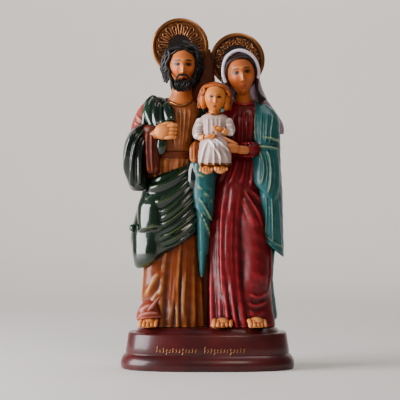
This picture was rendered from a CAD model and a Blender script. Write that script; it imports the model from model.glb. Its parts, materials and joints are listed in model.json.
# %% [markdown]
# A painted resin holy family statue. The real object is cast in polyester resin from a rubber mould:
# a bearded man, a veiled woman and a child between them, with gilded haloes, on a lacquered oval plinth.
# The CAD frame gives the true size and outline. This file makes the fine surface over it: each garment,
# head, hand and lock of hair is a closed form in its own paint, and all of them are fused into one
# casting, because that is how the real one leaves its mould.

# %% Load the frame
import json
import math

import bmesh
import bpy
import numpy as np
from mathutils import Euler, Matrix, Vector
from mathutils.noise import noise

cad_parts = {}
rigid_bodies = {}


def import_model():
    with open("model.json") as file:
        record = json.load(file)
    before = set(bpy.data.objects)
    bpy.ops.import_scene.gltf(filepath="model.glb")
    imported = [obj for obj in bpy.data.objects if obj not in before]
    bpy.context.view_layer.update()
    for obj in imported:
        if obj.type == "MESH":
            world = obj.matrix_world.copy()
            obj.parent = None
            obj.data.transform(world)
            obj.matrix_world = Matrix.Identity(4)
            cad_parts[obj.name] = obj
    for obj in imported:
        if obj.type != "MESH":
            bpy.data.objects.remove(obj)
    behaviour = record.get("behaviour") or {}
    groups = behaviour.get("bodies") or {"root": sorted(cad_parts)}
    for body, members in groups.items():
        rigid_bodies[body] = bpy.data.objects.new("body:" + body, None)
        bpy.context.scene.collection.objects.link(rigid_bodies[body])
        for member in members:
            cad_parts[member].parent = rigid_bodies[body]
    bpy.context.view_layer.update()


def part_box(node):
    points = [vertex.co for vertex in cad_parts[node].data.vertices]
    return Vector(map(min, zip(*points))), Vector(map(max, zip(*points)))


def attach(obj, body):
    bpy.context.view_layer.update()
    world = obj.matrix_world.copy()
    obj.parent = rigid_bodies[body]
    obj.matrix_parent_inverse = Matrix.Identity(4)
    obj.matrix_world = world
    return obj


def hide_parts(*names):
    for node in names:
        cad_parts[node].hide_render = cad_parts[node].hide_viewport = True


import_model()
group_low, group_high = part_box("family_group")
plinth_low, plinth_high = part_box("plinth")

# %% [markdown]
# The figures are written in parts, 176 of them to the height of the group, counted up from the ground
# that they stand on. All the rest follows from that one scale, so a statue of another size keeps its
# proportions. FRONT and BACK say on which side of a garment a set of folds is carved.

# %% Scale and small helpers
FIGURE_PARTS = 176.0
PART = (group_high.z - group_low.z) / FIGURE_PARTS
GROUND_Z = group_low.z
FRONT, BACK = -1.0, 1.0
RING_POINTS = 150
RING_SPACING = 0.6
FRONT_FINENESS = 0.42


def linear(code):
    """A colour written as an sRGB hex code, as the linear values that shaders work in."""
    values = [int(code[k : k + 2], 16) / 255 for k in (1, 3, 5)]
    return [v / 12.92 if v <= 0.04045 else ((v + 0.055) / 1.055) ** 2.4 for v in values] + [1.0]


def smooth_rows(rows, count):
    """A Catmull-Rom curve through the rows, read at count even steps."""
    rows = np.array(rows, float)
    ends = np.vstack([2 * rows[0] - rows[1], rows, 2 * rows[-1] - rows[-2]])
    place = np.linspace(0, len(rows) - 1, count)
    first = np.minimum(place.astype(int), len(rows) - 2)
    t = (place - first)[:, None]
    a, b, c, d = (ends[first + k] for k in range(4))
    return 0.5 * (2 * b + (c - a) * t + (2 * a - 5 * b + 4 * c - d) * t**2 + (3 * b - a - 3 * c + d) * t**3)


def smooth_step(value):
    value = np.clip(value, 0.0, 1.0)
    return value * value * (3 - 2 * value)


print("one part is", round(1000 * PART, 3), "mm")

# %% [markdown]
# Every paint is built the same way a painter of such statues works. A dark wash is left in the hollows,
# the colour itself covers the middle, and a pale dry brush catches the ridges. A number stored on each
# point of the casting, called relief, says how far it stands out of its surroundings, and a ramp turns
# that number into the three tones. A clear coat on top gives the sharp window glints of lacquer.

# %% A node helper and the three-tone paint


def put(tree, kind, settings=None, values=None):
    """Adds a node. settings are its own properties; values are its inputs, by name or number, and a
    value that is an output socket is linked."""
    node = tree.nodes.new(kind)
    for name, setting in (settings or {}).items():
        setattr(node, name, setting)
    for name, value in (values or {}).items():
        if isinstance(value, bpy.types.NodeSocket):
            tree.links.new(value, node.inputs[name])
        else:
            node.inputs[name].default_value = value
    return node


def ramp(tree, factor, stops):
    """A colour ramp with a stop for each (place, colour)."""
    node = put(tree, "ShaderNodeValToRGB", values={"Fac": factor})
    elements = node.color_ramp.elements
    while len(elements) < len(stops):
        elements.new(0.5)
    for element, (place, colour) in zip(elements, stops):
        element.position = place
        element.color = linear(colour)
    return node.outputs["Color"]


def start_material(name):
    material = bpy.data.materials.new(name)
    material.use_nodes = True
    tree = material.node_tree
    tree.nodes.clear()
    shader = put(tree, "ShaderNodeBsdfPrincipled")
    output = put(tree, "ShaderNodeOutputMaterial", values={"Surface": shader.outputs["BSDF"]})
    output.location.x = 300
    return material, tree, shader


def relief_of(tree):
    return put(tree, "ShaderNodeAttribute", {"attribute_name": "relief"}).outputs["Fac"]


def painted(name, hollow, body, ridge, roughness=0.4, coat=0.4, crest=0.9, blur=0.18):
    """Acrylic paint over cast resin: wash in the hollows, colour, dry brush on the ridges, lacquer.
    blur is the roughness of the lacquer, small for a hard gloss."""
    material, tree, shader = start_material(name)
    place = put(tree, "ShaderNodeTexCoord").outputs["Object"]
    mottle = put(tree, "ShaderNodeTexNoise", values={"Vector": place, "Scale": 320.0, "Detail": 3.0})
    shift = put(
        tree, "ShaderNodeMath", {"operation": "MULTIPLY_ADD"}, {0: mottle.outputs["Fac"], 1: 0.10, 2: -0.05}
    )
    worn = put(tree, "ShaderNodeMath", {"operation": "ADD"}, {0: relief_of(tree), 1: shift.outputs[0]})
    tones = ramp(tree, worn.outputs[0], [(0.14, hollow), (0.44, body), (0.62, body), (crest, ridge)])
    tree.links.new(tones, shader.inputs["Base Color"])
    shader.inputs["Roughness"].default_value = roughness
    shader.inputs["Specular IOR Level"].default_value = 0.2
    shader.inputs["Coat Weight"].default_value = coat
    shader.inputs["Coat Roughness"].default_value = blur
    grain = put(tree, "ShaderNodeTexNoise", values={"Vector": place, "Scale": 700.0, "Detail": 2.0})
    bump = put(
        tree,
        "ShaderNodeBump",
        values={"Height": grain.outputs["Fac"], "Strength": 0.12, "Distance": 0.0002},
    )
    tree.links.new(bump.outputs["Normal"], shader.inputs["Normal"])
    return material


# %% [markdown]
# The clothes. The man's tunic is orange-brown, brushed with gold ochre towards the hem; his mantle is a
# green so dark that it reads as black between its glints. The woman's dress is crimson and her mantle
# teal, brushed with yellow-green along the folds. The sleeves and the cloth at the man's foot carry a
# dusty pink brush.

# %% Cloth paints
TUNIC = painted("ochre_brown_acrylic", "#200802", "#6e2e08", "#ac7028", coat=0.3, crest=0.95)
BODICE = painted("brown_ochre_acrylic", "#140501", "#8c4e28", "#c88c54", coat=0.2)
RUST = painted("rust_acrylic", "#120401", "#4a1606", "#78381c", roughness=0.5, coat=0.08)
SLEEVE = painted("rust_acrylic_pink_brush", "#200402", "#7c3020", "#c08070", coat=0.2, crest=1.0)
GREEN = painted("bottle_green_acrylic", "#000100", "#051a0b", "#44561c", 0.25, 1.0, crest=1.0, blur=0.06)
DARK_GREEN = painted("bottle_green_unbrushed", "#000100", "#03120a", "#10301c", 0.25, 1.0, blur=0.06)
DRESS = painted("crimson_acrylic", "#0a0001", "#5c040c", "#a42a32", roughness=0.36, coat=0.12, crest=0.95)
TEAL = painted("teal_acrylic_moss_brush", "#021416", "#1c5456", "#8a985c", coat=0.25, crest=1.0)
VEIL = painted("lilac_white_acrylic", "#43323a", "#907c88", "#dccfda", coat=0.2)
GOWN = painted("pearl_white_acrylic", "#543c38", "#b49c94", "#faf5f6", coat=0.25)
UNDER = painted("amber_acrylic", "#2c0a02", "#74320a", "#b46c2c", coat=0.2)
UMBER = painted("umber_acrylic", "#140602", "#50220e", "#74381a", roughness=0.6, coat=0.0)
print("cloth paints:", TUNIC.name, SLEEVE.name, GREEN.name, DRESS.name, TEAL.name, VEIL.name, GOWN.name)

# %% [markdown]
# Hair is nearly matt, with the brush catching only the crests of the locks. The haloes are antique gold:
# a brown wash sits in the hollows, and gold wax is rubbed over the ridges, so metal shows only there.

# %% Hair and gold
BLACK_HAIR = painted("soot_black_acrylic", "#000000", "#020101", "#0c0705", 0.45, 0.10, blur=0.06)
DARK_HAIR = painted("dark_brown_acrylic", "#020101", "#0e0502", "#301a10", roughness=0.55, coat=0.08)
AUBURN_HAIR = painted("auburn_acrylic", "#180501", "#6c2406", "#ac5a1a", roughness=0.50, coat=0.12)


def gilded(name, wash="#100401", body="#3c1d0a", ridge="#88542a", metal=0.85, stipple=0.0):
    """Antique gold: brown wash below, rubbed gold wax above. stipple adds a fine punched texture."""
    material, tree, shader = start_material(name)
    place = put(tree, "ShaderNodeTexCoord").outputs["Object"]
    punched = put(tree, "ShaderNodeTexNoise", values={"Vector": place, "Scale": 1500.0, "Detail": 1.0})
    height = put(
        tree,
        "ShaderNodeMath",
        {"operation": "MULTIPLY_ADD"},
        {0: punched.outputs["Fac"], 1: 0.12 + 0.9 * stipple, 2: -0.06 - 0.45 * stipple},
    )
    worn = put(tree, "ShaderNodeMath", {"operation": "ADD"}, {0: relief_of(tree), 1: height.outputs[0]})
    tones = ramp(tree, worn.outputs[0], [(0.30, wash), (0.5, body), (0.72, ridge)])
    tree.links.new(tones, shader.inputs["Base Color"])
    rubbed = put(
        tree, "ShaderNodeMapRange", values={"Value": worn.outputs[0], "From Min": 0.3, "From Max": 0.6}
    )
    part_metal = put(
        tree, "ShaderNodeMath", {"operation": "MULTIPLY"}, {0: rubbed.outputs["Result"], 1: metal}
    )
    tree.links.new(part_metal.outputs[0], shader.inputs["Metallic"])
    shader.inputs["Roughness"].default_value = 0.30
    shader.inputs["Coat Weight"].default_value = 0.3
    bump = put(
        tree,
        "ShaderNodeBump",
        values={"Height": punched.outputs["Fac"], "Strength": 0.25 + 1.2 * stipple, "Distance": 0.0003},
    )
    tree.links.new(bump.outputs["Normal"], shader.inputs["Normal"])
    return material


GOLD = gilded("antique_gold_wax")
GOLD_FIELD = gilded("antique_gold_stippled", "#120401", "#3c1c0a", "#885028", stipple=0.4)
print("metal and hair:", GOLD.name, GOLD_FIELD.name, BLACK_HAIR.name, DARK_HAIR.name, AUBURN_HAIR.name)

# %% [markdown]
# The faces are calm and general, laid out by the drawing-book rule: eyes half way down the head, the
# nose ending half way from there to the chin. Each head stores its own coordinates on its points, in
# half heights of the head, so the same painted eyes, brows and lips sit right on any head, however it
# is turned. The features are soft-edged ovals mixed over the flesh tone one after another.

# %% Flesh and painted faces


def oval(tree, x, z, centre, radii, edge=0.25):
    """1 inside an oval on the face and 0 outside it, with a soft edge."""
    total = None
    for value, middle, radius in ((x, centre[0], radii[0]), (z, centre[1], radii[1])):
        away = put(tree, "ShaderNodeMath", {"operation": "SUBTRACT"}, {0: value, 1: middle})
        share = put(tree, "ShaderNodeMath", {"operation": "DIVIDE"}, {0: away.outputs[0], 1: radius})
        square = put(tree, "ShaderNodeMath", {"operation": "POWER"}, {0: share.outputs[0], 1: 2.0})
        if total is None:
            total = square.outputs[0]
        else:
            both = put(tree, "ShaderNodeMath", {"operation": "ADD"}, {0: total, 1: square.outputs[0]})
            total = both.outputs[0]
    return put(
        tree,
        "ShaderNodeMapRange",
        values={"Value": total, "From Min": 1 - edge, "From Max": 1 + edge, "To Min": 1.0, "To Max": 0.0},
    ).outputs["Result"]


def flesh(name, brow, lips="#9c3820", body="#a45424", ridge="#cc8448", brow_height=0.034):
    """Flesh tone with eyes, brows, lips and warm cheeks painted on, in the head's own coordinates."""
    material = painted(name, "#4c1c0a", body, ridge, roughness=0.45, coat=0.12, crest=0.97)
    tree = material.node_tree
    shader = next(n for n in tree.nodes if n.type == "BSDF_PRINCIPLED")
    colour = shader.inputs["Base Color"].links[0].from_socket
    place = put(tree, "ShaderNodeAttribute", {"attribute_name": "head_place"}).outputs["Vector"]
    split = put(tree, "ShaderNodeSeparateXYZ", values={"Vector": place})
    side = put(tree, "ShaderNodeMath", {"operation": "ABSOLUTE"}, {0: split.outputs["X"]}).outputs[0]
    high = split.outputs["Z"]
    front = {"Value": split.outputs["Y"], "From Min": -0.35, "From Max": -0.5}
    facing = put(tree, "ShaderNodeMapRange", values=front).outputs["Result"]
    features = [
        ((0.36, -0.28), (0.24, 0.22), "#b8481f", 0.32, 0.9),
        ((0.27, 0.100), (0.165, 0.065), "#5c2410", 0.55, 0.5),
        ((0.27, 0.040), (0.150, 0.074), "#120604", 0.95, 0.25),
        ((0.27, 0.022), (0.116, 0.042), "#7c5234", 1.0, 0.2),
        ((0.266, 0.030), (0.080, 0.060), "#100401", 1.0, 0.2),
        ((0.27, 0.230), (0.175, brow_height), brow, 0.85, 0.5),
        ((0.0, -0.570), (0.150, 0.044), lips, 0.9, 0.35),
        ((0.0, -0.628), (0.118, 0.044), lips, 0.8, 0.35),
        ((0.0, -0.592), (0.140, 0.012), "#3c0c06", 0.9, 0.4),
    ]
    for centre, radii, paint, strength, edge in features:
        mask = oval(tree, side, high, centre, radii, edge)
        seen = put(tree, "ShaderNodeMath", {"operation": "MULTIPLY"}, {0: mask, 1: facing})
        amount = put(tree, "ShaderNodeMath", {"operation": "MULTIPLY"}, {0: seen.outputs[0], 1: strength})
        mix = put(
            tree,
            "ShaderNodeMix",
            {"data_type": "RGBA"},
            {"Factor": amount.outputs[0], "A": colour, "B": linear(paint)},
        )
        colour = mix.outputs["Result"]
    tree.links.new(colour, shader.inputs["Base Color"])
    return material


MAN_FLESH = flesh("tan_flesh_acrylic", "#0c0403", body="#ac5c26", ridge="#d48846", brow_height=0.050)
WOMAN_FLESH = flesh("warm_flesh_acrylic", "#2c1008")
CHILD_FLESH = flesh("light_flesh_acrylic", "#6c3010", body="#c0702e", ridge="#e89c5c", brow_height=0.024)
print("flesh paints:", MAN_FLESH.name, WOMAN_FLESH.name, CHILD_FLESH.name)

# %% [markdown]
# The plinth's finish. It is sprayed with a dark mahogany lacquer, so it is a near-black red under a hard
# gloss, with a faint cloudiness where the coats overlap.

# %% Lacquer


def lacquered(name):
    material, tree, shader = start_material(name)
    place = put(tree, "ShaderNodeTexCoord").outputs["Object"]
    cloud = put(tree, "ShaderNodeTexNoise", values={"Vector": place, "Scale": 45.0, "Detail": 3.0})
    tones = ramp(tree, cloud.outputs["Fac"], [(0.3, "#240405"), (0.55, "#3e090b"), (0.8, "#521414")])
    tree.links.new(tones, shader.inputs["Base Color"])
    shader.inputs["Roughness"].default_value = 0.38
    shader.inputs["Specular IOR Level"].default_value = 0.25
    shader.inputs["Coat Weight"].default_value = 0.33
    shader.inputs["Coat Roughness"].default_value = 0.17
    ripple = put(tree, "ShaderNodeTexNoise", values={"Vector": place, "Scale": 120.0, "Detail": 1.0})
    bump = put(
        tree,
        "ShaderNodeBump",
        values={"Height": ripple.outputs["Fac"], "Strength": 0.06, "Distance": 0.0005},
    )
    tree.links.new(bump.outputs["Normal"], shader.inputs["Normal"])
    return material


LACQUER = lacquered("sprayed_mahogany_lacquer")
print("plinth:", LACQUER.name)

# %% [markdown]
# Every form is a closed skin of points, because only closed skins can be fused. A form is stored in one
# collection with its paint. On the heads each point also keeps its place on the head, for the painted
# features; on all other forms that place is zero. Heights are written as they look to an eye level with
# the middle of the statue. From there the upper bodies look higher than they are, so a form is settled
# by up to 2.2 parts as it is stored. The haloes are placed exactly, so they are left as written.

# %% Closed forms
SETTLE_FROM = 90.0
SETTLE_TO = 122.0
SETTLE_DEPTH = 2.2
forms = bpy.data.collections.new("forms_to_fuse")
bpy.context.scene.collection.children.link(forms)


def store(name, points, faces, paint, head_place=None):
    """Keeps one closed form, in metres, ready to be fused."""
    mesh = bpy.data.meshes.new(name)
    points = np.array(points, float)
    if "halo" not in name:
        points[:, 2] -= SETTLE_DEPTH * smooth_step((points[:, 2] - SETTLE_FROM) / (SETTLE_TO - SETTLE_FROM))
    points = points * PART + np.array([0.0, 0.0, GROUND_Z])
    mesh.from_pydata(points.tolist(), [], faces)
    shape = bmesh.new()
    shape.from_mesh(mesh)
    bmesh.ops.recalc_face_normals(shape, faces=shape.faces)
    shape.to_mesh(mesh)
    shape.free()
    place = mesh.attributes.new("head_place", "FLOAT_VECTOR", "POINT")
    if head_place is not None:
        place.data.foreach_set("vector", np.array(head_place, np.float32).ravel())
    mesh.materials.append(paint)
    mesh.shade_smooth()
    obj = bpy.data.objects.new(name, mesh)
    forms.objects.link(obj)
    return obj


def grid_faces(rings, around):
    """The faces of a closed skin through a grid of rings, with a flat cap on each end."""
    faces = [list(range(around))[::-1], [(rings - 1) * around + k for k in range(around)]]
    for r in range(rings - 1):
        low, high = r * around, (r + 1) * around
        faces += [
            [low + k, low + (k + 1) % around, high + (k + 1) % around, high + k] for k in range(around)
        ]
    return faces


def store_grid(name, grid, paint):
    return store(name, grid.reshape(-1, 3), grid_faces(*grid.shape[:2]), paint)


def grid_normals(grid):
    across = np.roll(grid, -1, axis=1) - np.roll(grid, 1, axis=1)
    up = np.gradient(grid, axis=0)
    normals = np.cross(across, up)
    normals /= np.maximum(np.linalg.norm(normals, axis=2, keepdims=True), 1e-9)
    outward = np.sum(normals * (grid - grid.mean(axis=1, keepdims=True)))
    return normals if outward > 0 else -normals


print("heights settle by up to", round(1000 * SETTLE_DEPTH * PART, 1), "mm")

# %% [markdown]
# Folds. A carver thinks of drapery as lines that run from where the cloth is held to where it hangs
# free. A fan is a set of such curves between a first and a last one, and each curve lifts a rounded
# ridge where it passes over the garment. Thinner lines between the main ones break the evenness. A
# ridge's section is (1 - s**p)**q at a share s of its half width: p flattens its top, q thins its crest.

# %% Folds
ROUND, CRISP, FLAT = (2, 2), (2, 4), (4, 2)


def fan(first, last, count, width, height, ends=(0.25, 0.25), side=FRONT, between=0.4, shape=ROUND):
    """Fold curves as start, pull and end in (x, z). between is the height share of thin folds that lie
    between the main ones."""
    folds = []
    first, last = np.array(first, float), np.array(last, float)
    shares = np.linspace(0.0, 1.0, count)
    for k, share in enumerate(shares):
        vary = math.sin(2.4 * k + count) if count > 2 else 0.0
        curve = (1 - share) * first + share * last
        curve[1] += (0.5 * vary, 0.0)
        folds.append((curve, width * (1 + 0.22 * vary), height * (1 - 0.25 * vary), ends, side, shape))
        if between and k < count - 1:
            half = share + 0.5 * (shares[1] - shares[0])
            curve = (1 - half) * first + half * last
            folds.append((curve, 0.5 * width, between * height, (0.4, 0.4), side, shape))
    return folds


def fold_lift(x, z, outward_y, folds):
    """How far the folds lift the cloth at each point."""
    lift = np.zeros_like(x)
    for curve, width, height, (start_taper, end_taper), side, (top, crest) in folds:
        t = np.linspace(0, 1, 13)[:, None]
        points = (1 - t) ** 2 * curve[0] + 2 * t * (1 - t) * curve[1] + t**2 * curve[2]
        nearest = np.full_like(x, 1e9)
        along = np.zeros_like(x)
        for k in range(len(points) - 1):
            step = points[k + 1] - points[k]
            reach = ((x - points[k, 0]) * step[0] + (z - points[k, 1]) * step[1]) / (step @ step)
            reach = np.clip(reach, 0, 1)
            distance = np.hypot(x - points[k, 0] - reach * step[0], z - points[k, 1] - reach * step[1])
            closer = distance < nearest
            nearest = np.where(closer, distance, nearest)
            along = np.where(closer, (k + reach) / (len(points) - 1), along)
        fade = smooth_step((along + 0.02) / start_taper) * smooth_step((1.02 - along) / end_taper)
        faces = smooth_step(outward_y * side * 2.0)
        spread = np.clip(nearest / width, 0, 1)
        lift += height * (1 - spread**top) ** crest * fade * faces
    return lift


print("fold sections, as (p, q):", ROUND, CRISP, FLAT)

# %% [markdown]
# Cloth and bands. On the real statue the garments are modelled in clay, as hanging shells and as strips
# laid over them. They could be sculpted freehand or left to a cloth simulation, but folds carved for a
# mould are stiffer and more even than real cloth. So a garment is a loft of oval rings, a strip is swept
# along a path, and both are lifted by the fold lines.

# %% Cloth and bands


def uneven(grid):
    """The slight waviness of a surface modelled by hand."""
    x, y, z = grid[:, :, 0], grid[:, :, 1], grid[:, :, 2]
    broad = np.sin(0.61 * x + 0.37 * z + 1) * np.sin(0.47 * z - 0.29 * x + 0.5 * y)
    narrow = np.sin(1.3 * z + 0.9 * x) * np.sin(1.1 * x - 0.8 * z + y)
    return 0.14 * broad + 0.04 * narrow


def cloth(name, paint, rows, folds=(), power=2.2, fineness=1.0, waviness=1.0):
    """A garment: a loft of oval rings. Each row is z, centre x, centre y, half width, half depth, and
    the slope of the ring along x, which lets a hem or a wrap run at a slant."""
    rows = [tuple(row) + (0.0,) * (6 - len(row)) for row in rows]
    length = abs(rows[-1][0] - rows[0][0])
    rings = smooth_rows(rows, max(8, int(fineness * length / RING_SPACING)))
    angle = np.linspace(0, 2 * math.pi, int(fineness * RING_POINTS), endpoint=False)
    angle -= FRONT_FINENESS * np.cos(angle)
    wide = np.sign(np.cos(angle)) * np.abs(np.cos(angle)) ** (2 / power)
    deep = np.sign(np.sin(angle)) * np.abs(np.sin(angle)) ** (2 / power)
    z, cx, cy, half_width, half_depth, slope = (rings[:, [k]] for k in range(6))
    x = cx + half_width * wide
    grid = np.stack([x, cy + half_depth * deep, z + slope * (x - cx)], axis=2)
    normals = grid_normals(grid)
    lift = fold_lift(grid[:, :, 0], grid[:, :, 2], normals[:, :, 1], folds) + waviness * uneven(grid)
    return store_grid(name, grid + normals * lift[:, :, None], paint)


def band(name, paint, rows, folds=(), facing=(0, -1, 0), around=40, spacing=RING_SPACING):
    """A flat or round strip along a path. Each row is x, y, z, half width, half thickness, and the
    strip's broad side looks in the facing direction."""
    path = np.array(rows, float)
    length = np.linalg.norm(np.diff(path[:, :3], axis=0), axis=1).sum()
    count = max(8, int(length / spacing))
    rings = smooth_rows(rows, count)
    centre = rings[:, :3]
    tangent = np.gradient(centre, axis=0)
    tangent /= np.linalg.norm(tangent, axis=1, keepdims=True)
    facing = np.array(facing, float)
    outward = facing - tangent * (tangent @ facing)[:, None]
    outward /= np.maximum(np.linalg.norm(outward, axis=1, keepdims=True), 1e-6)
    sideways = np.cross(tangent, outward)
    place = np.linspace(-1, 1, count)
    ends = np.sqrt(np.clip(1 - np.abs(place) ** 10, 0.02, 1))[:, None, None]
    angle = np.linspace(0, 2 * math.pi, around, endpoint=False)
    across = sideways[:, None] * np.cos(angle)[None, :, None] * rings[:, None, 3:4]
    above = outward[:, None] * np.sin(angle)[None, :, None] * rings[:, None, 4:5]
    grid = centre[:, None] + (across + above) * ends
    normals = grid_normals(grid)
    lift = fold_lift(grid[:, :, 0], grid[:, :, 2], normals[:, :, 1], folds)
    return store_grid(name, grid + normals * lift[:, :, None], paint)


print("points around a garment:", RING_POINTS)

# %% [markdown]
# Rolls and balls. Fingers, toes and locks are rolled in clay and pressed on. A bevelled curve would give
# the same shape, but it has to be turned into a closed mesh before it can be fused. Here the rings of
# the roll are worked out directly, with rounded ends, so that it is closed from the start.

# %% Rolls and balls


def roll_grid(rows, around):
    """The rings of a round tapering roll with rounded ends. Each row is x, y, z, radius."""
    rings = smooth_rows(rows, 5 * len(rows))
    rings[:, 3] = np.maximum(rings[:, 3], 0.08)
    tangent = np.gradient(rings[:, :3], axis=0)
    tangent /= np.maximum(np.linalg.norm(tangent, axis=1, keepdims=True), 1e-6)
    caps = []
    for end, way in ((0, -1.0), (-1, 1.0)):
        place, radius = rings[end, :3], rings[end, 3]
        steps = ((0.55, 0.84), (0.88, 0.48), (0.99, 0.15))
        caps.append(
            [[*(place + way * tangent[end] * reach * radius), radius * size] for reach, size in steps]
        )
    rings = np.array(caps[0][::-1] + rings.tolist() + caps[1])
    tangent = np.vstack([tangent[:1]] * 3 + [tangent] + [tangent[-1:]] * 3)
    sideways = np.cross(tangent, np.array([0.31, -0.9, 0.3]))
    sideways /= np.maximum(np.linalg.norm(sideways, axis=1, keepdims=True), 1e-6)
    outward = np.cross(sideways, tangent)
    angle = np.linspace(0, 2 * math.pi, around, endpoint=False)
    cosine, sine = np.cos(angle)[None, :, None], np.sin(angle)[None, :, None]
    circle = sideways[:, None] * cosine + outward[:, None] * sine
    return rings[:, None, :3] + circle * rings[:, None, 3:4]


def roll(name, paint, rows, around=10):
    """A round tapering roll, for fingers, toes and locks of hair."""
    return store_grid(name, roll_grid(rows, around), paint)


def unit_ball(around, high):
    shape = bmesh.new()
    bmesh.ops.create_uvsphere(shape, u_segments=around, v_segments=high, radius=1.0)
    mesh = bpy.data.meshes.new("ball")
    shape.to_mesh(mesh)
    shape.free()
    points = [tuple(v.co) for v in mesh.vertices]
    faces = [list(p.vertices) for p in mesh.polygons]
    bpy.data.meshes.remove(mesh)
    return points, faces


def ball(name, paint, centre, radii, turn=(0, 0, 0), fine=32):
    """An ellipsoid, turned by degrees about X, Y and Z."""
    matrix = Matrix.Translation(centre) @ Euler([math.radians(a) for a in turn]).to_matrix().to_4x4()
    matrix @= Matrix.Diagonal((*radii, 1.0))
    points, faces = unit_ball(fine, fine // 2)
    return store(name, [tuple(matrix @ Vector(p)) for p in points], faces, paint)


print("a ball of 32 has", len(unit_ball(32, 16)[0]), "points")

# %% [markdown]
# Heads. One ball is pressed into a face by smooth bumps and hollows: brow, sockets, lids, nose, cheeks,
# lips and chin. The numbers are shares of the head's half height, so the same recipe makes a man's,
# a woman's and a child's head, with the width and the jaw as the only differences.

# %% Heads


def face(name, paint, centre, half_height, tilt, width=0.70, softness=1.0):
    points, faces = unit_ball(92, 80)
    p = np.array(points)
    x, y, z = p[:, 0], p[:, 1], p[:, 2]
    front = smooth_step(-y * 1.6)
    jaw = 1 - 0.30 * smooth_step(-z * 1.05) ** 1.3
    across = x * width

    def bump(cx, cz, rx, rz):
        return np.exp(-(((across - cx) / rx) ** 2) - ((z - cz) / rz) ** 2) * front

    nose_ramp = smooth_step((0.20 - z) / 0.55) * smooth_step((z + 0.40) / 0.07)
    relief = 0.165 * np.exp(-((across / 0.075) ** 2)) * nose_ramp * front
    relief += 0.040 * bump(0, 0.26, 0.40, 0.10)
    relief += 0.045 * bump(0, -0.555, 0.13, 0.040)
    relief += 0.050 * bump(0, -0.640, 0.11, 0.045)
    relief -= 0.020 * bump(0, -0.592, 0.15, 0.018)
    relief += 0.060 * bump(0, -0.88, 0.16, 0.12)
    relief -= 0.030 * bump(0, -0.745, 0.14, 0.05)
    for side in (-1, 1):
        relief -= 0.085 * bump(side * 0.27, 0.05, 0.16, 0.11)
        relief += 0.070 * bump(side * 0.27, 0.025, 0.095, 0.060)
        relief += 0.022 * bump(side * 0.27, 0.092, 0.12, 0.022)
        relief += 0.038 * bump(side * 0.39, -0.24, 0.16, 0.16) * softness
        relief += 0.045 * bump(side * 0.085, -0.335, 0.045, 0.05)
        relief -= 0.020 * bump(side * 0.19, -0.42, 0.05, 0.14)
    shaped = np.stack([across * jaw, y * 0.88 * (0.6 + 0.4 * jaw) - relief, z], axis=1)
    turn = np.array(Euler([math.radians(a) for a in tilt]).to_matrix())
    placed = shaped * half_height @ turn.T + np.array(centre)
    return store(name, placed, faces, paint, head_place=shaped)


def head_point(centre, half_height, tilt, point):
    """A place on a head, given in units of its half height, in the group's frame."""
    turn = Euler([math.radians(a) for a in tilt]).to_matrix()
    return Vector(centre) + turn @ (Vector(point) * half_height)


eye_offset = head_point((0, 0, 0), 12.2, (0, 0, 0), (0.27, 0, 0)).x
print("an eye is", round(eye_offset, 1), "parts off the middle")

# %% [markdown]
# Locks of hair. The real hair is carved in wavy strands that hug the skull. Hair particles would look
# finer, but they aren't solid and can't be fused. So a lock is a tapering roll along a few points, and
# the points near the crown are laid on an oval shell round the head, so that no lock hovers over it.

# %% Locks of hair


def on_shell(shell, way):
    """The point of an oval shell round a head, given by its middle and radii, in a direction from the
    middle. Head units."""
    middle, radii = shell
    way = Vector(way).normalized()
    return tuple(m + r * w for m, r, w in zip(middle, radii, way))


def lock(name, paint, head, path, radius, wave=0.0, turns=2.0, phase=0.0):
    """A lock of hair along a path of points in head units, with a sideways wave."""
    points = smooth_rows(path, 12)
    rows = []
    for k, point in enumerate(points.tolist()):
        share = k / (len(points) - 1)
        shift = wave * math.sin(2 * math.pi * turns * share + phase)
        place = head_point(*head, (point[0] + shift, point[1] - 0.5 * shift, point[2]))
        rows.append((*place, radius * (1 - 0.55 * share**2)))
    return roll(name, paint, rows)


print("points along a lock:", len(smooth_rows([(0, 0, 0), (1, 0, 0)], 12)))

# %% [markdown]
# Hands and feet. A hand is a flattened palm with four fingers and a thumb, built from its wrist along
# two directions: the way the fingers point, and the way the back of the hand faces. A foot shows only
# its front half below the hem: an instep and five toes.

# %% Hands and feet
TOE_WIDTHS = (0.098, 0.088, 0.090, 0.096, 0.130)


def hand(name, paint, wrist, along, back, length, curl=0.35, thumb=1, slim=1.0):
    along, back = Vector(along).normalized(), Vector(back).normalized()
    back = (back - along * back.dot(along)).normalized()
    side = along.cross(back)
    wrist = Vector(wrist)
    turn = [math.degrees(a) for a in Matrix((along, side, back)).transposed().to_euler()]
    palm = (0.33 * length, 0.24 * slim * length, 0.13 * length)
    ball(name + "_palm", paint, wrist + along * 0.30 * length, palm, turn, fine=24)
    for k in range(4):
        offset = side * (k - 1.5) * 0.115 * slim * length
        reach = length * (1.0, 0.97, 0.92, 0.84)[k if thumb > 0 else 3 - k]
        start = wrist + along * 0.45 * length + offset
        middle = wrist + along * 0.75 * reach + offset + back * 0.02 * length
        end = wrist + along * reach * (1 - 0.25 * curl) + offset - back * 0.22 * curl * length
        sizes = [slim * share * length for share in (0.068, 0.060, 0.050)]
        rows = [(*start, sizes[0]), (*middle, sizes[1]), (*end, sizes[2])]
        roll(f"{name}_finger_{k}", paint, rows)
    base = wrist + along * 0.22 * length - side * thumb * 0.16 * length
    tip = wrist + along * 0.62 * length - side * thumb * 0.33 * length - back * 0.05 * length
    rows = [(*base, 0.085 * length), (*((base + tip) / 2), 0.075 * length), (*tip, 0.055 * length)]
    roll(name + "_thumb", paint, rows)


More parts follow.
